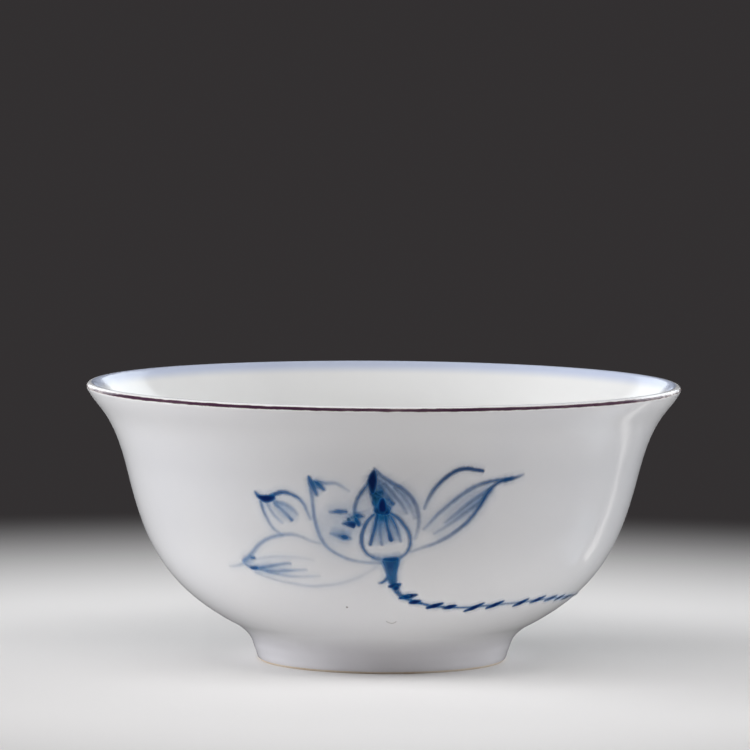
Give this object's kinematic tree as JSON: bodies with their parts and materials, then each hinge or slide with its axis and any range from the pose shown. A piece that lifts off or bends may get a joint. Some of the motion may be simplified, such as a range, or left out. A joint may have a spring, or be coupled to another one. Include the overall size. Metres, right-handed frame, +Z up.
{
  "type": "tea bowl",
  "caption": "Small open porcelain tea bowl with a flared, brown-lined lip, a rounded belly, a foot ring and a lotus brushed in cobalt blue on its front.",
  "frame": {"origin": "centre of the foot ring's flat resting face, on the bowl's axis", "axes": "+Z up along the bowl's axis, -Y towards the painted front, +X to the right of the lotus as a viewer faces it"},
  "size_m": [0.08, 0.08, 0.0374],
  "materials": {
    "bare_porcelain": "unglazed, fine matt, faintly tan where the foot is bare",
    "white_glaze": "clear glossy glaze over cool white porcelain",
    "iron_brown": "hand-painted purple-brown line, glossy",
    "cobalt_blue": "hand-brushed cobalt, pale washes to near-black blobs, glossy"
  },
  "bodies": {
    "root": {"porcelain_body": "bare_porcelain", "outer_glaze": "white_glaze", "inner_glaze": "white_glaze", "foot_well_glaze": "white_glaze", "rim_line": "iron_brown", "left_petal": "cobalt_blue", "tall_petal": "cobalt_blue", "back_petal": "cobalt_blue", "right_petal": "cobalt_blue", "long_petal": "cobalt_blue", "arc_petal": "cobalt_blue", "lotus_bud": "cobalt_blue", "stamens": "cobalt_blue", "stem": "cobalt_blue"}
  },
  "joints": []
}
